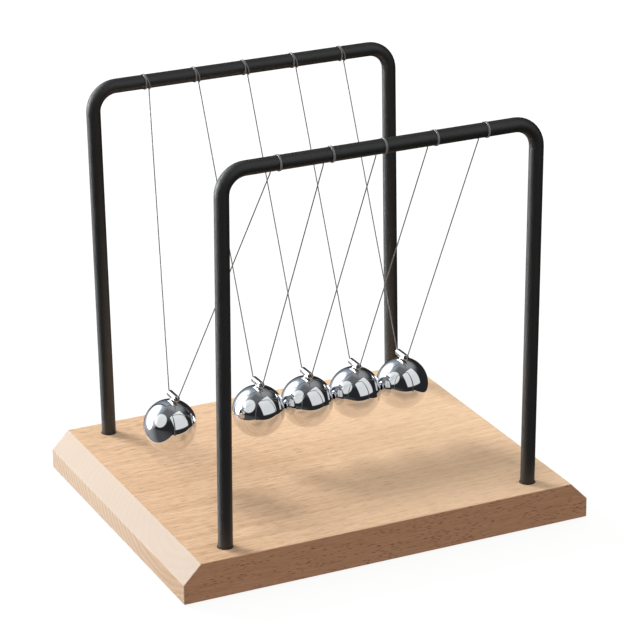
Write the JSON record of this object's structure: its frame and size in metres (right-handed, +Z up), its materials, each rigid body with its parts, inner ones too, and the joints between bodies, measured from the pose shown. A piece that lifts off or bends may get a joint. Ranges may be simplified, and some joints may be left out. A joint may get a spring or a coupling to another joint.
{
  "type": "newtons cradle",
  "caption": "Desk pendulum toy: a row of steel balls hung in a line on V-shaped threads from two rod hoops on a wooden board, to show momentum passing along the row.",
  "frame": {"origin": "middle of the board's footprint, at the surface that its pads stand on", "axes": "+Z up, +X along the top bars (the way the balls swing, ball 1 at the -X end), +Y from the front hoop to the rear hoop"},
  "size_m": [0.181, 0.1466, 0.1753],
  "materials": {
    "beech": "satin oiled beech, long grain along +X",
    "black_coat": "satin black powder coat",
    "ball_chrome": "mirror polished chrome-plated steel",
    "eyelet_plate": "nickel-plated, slightly dull",
    "nylon_line": "clear nylon monofilament",
    "zinc_steel": "bright zinc-plated",
    "pad_rubber": "matte black rubber"
  },
  "bodies": {
    "stand": {"base_board": "beech", "hoop_front": "black_coat", "hoop_rear": "black_coat", "hoop_screw_front_left": "zinc_steel", "hoop_screw_front_right": "zinc_steel", "hoop_screw_rear_left": "zinc_steel", "hoop_screw_rear_right": "zinc_steel", "washer_front_left": "zinc_steel", "washer_front_right": "zinc_steel", "washer_rear_left": "zinc_steel", "washer_rear_right": "zinc_steel", "foot_pad_front_left": "pad_rubber", "foot_pad_front_right": "pad_rubber", "foot_pad_rear_left": "pad_rubber", "foot_pad_rear_right": "pad_rubber", "wrap_front_1": "nylon_line", "wrap_front_2": "nylon_line", "wrap_front_3": "nylon_line", "wrap_front_4": "nylon_line", "wrap_front_5": "nylon_line", "wrap_rear_1": "nylon_line", "wrap_rear_2": "nylon_line", "wrap_rear_3": "nylon_line", "wrap_rear_4": "nylon_line", "wrap_rear_5": "nylon_line"},
    "pendulum_1": {"ball_1": "ball_chrome", "eyelet_1": "eyelet_plate", "line_1": "nylon_line"},
    "pendulum_2": {"ball_2": "ball_chrome", "eyelet_2": "eyelet_plate", "line_2": "nylon_line"},
    "pendulum_3": {"ball_3": "ball_chrome", "eyelet_3": "eyelet_plate", "line_3": "nylon_line"},
    "pendulum_4": {"ball_4": "ball_chrome", "eyelet_4": "eyelet_plate", "line_4": "nylon_line"},
    "pendulum_5": {"ball_5": "ball_chrome", "eyelet_5": "eyelet_plate", "line_5": "nylon_line"}
  },
  "joints": [
    {"name": "swing_1", "type": "hinge", "parent": "stand", "child": "pendulum_1", "pos_m": [-0.0448, 0, 0.16823], "axis": [0, -1, 0], "range_deg": [-52, 7.8]},
    {"name": "swing_2", "type": "hinge", "parent": "stand", "child": "pendulum_2", "pos_m": [-0.0224, 0, 0.16823], "axis": [0, -1, 0], "range_deg": [-7, 0.05]},
    {"name": "swing_3", "type": "hinge", "parent": "stand", "child": "pendulum_3", "pos_m": [0, 0, 0.16823], "axis": [0, -1, 0], "range_deg": [-0.05, 0.05]},
    {"name": "swing_4", "type": "hinge", "parent": "stand", "child": "pendulum_4", "pos_m": [0.0224, 0, 0.16823], "axis": [0, -1, 0], "range_deg": [-0.05, 0.05]},
    {"name": "swing_5", "type": "hinge", "parent": "stand", "child": "pendulum_5", "pos_m": [0.0448, 0, 0.16823], "axis": [0, -1, 0], "range_deg": [-0.05, 60]}
  ]
}
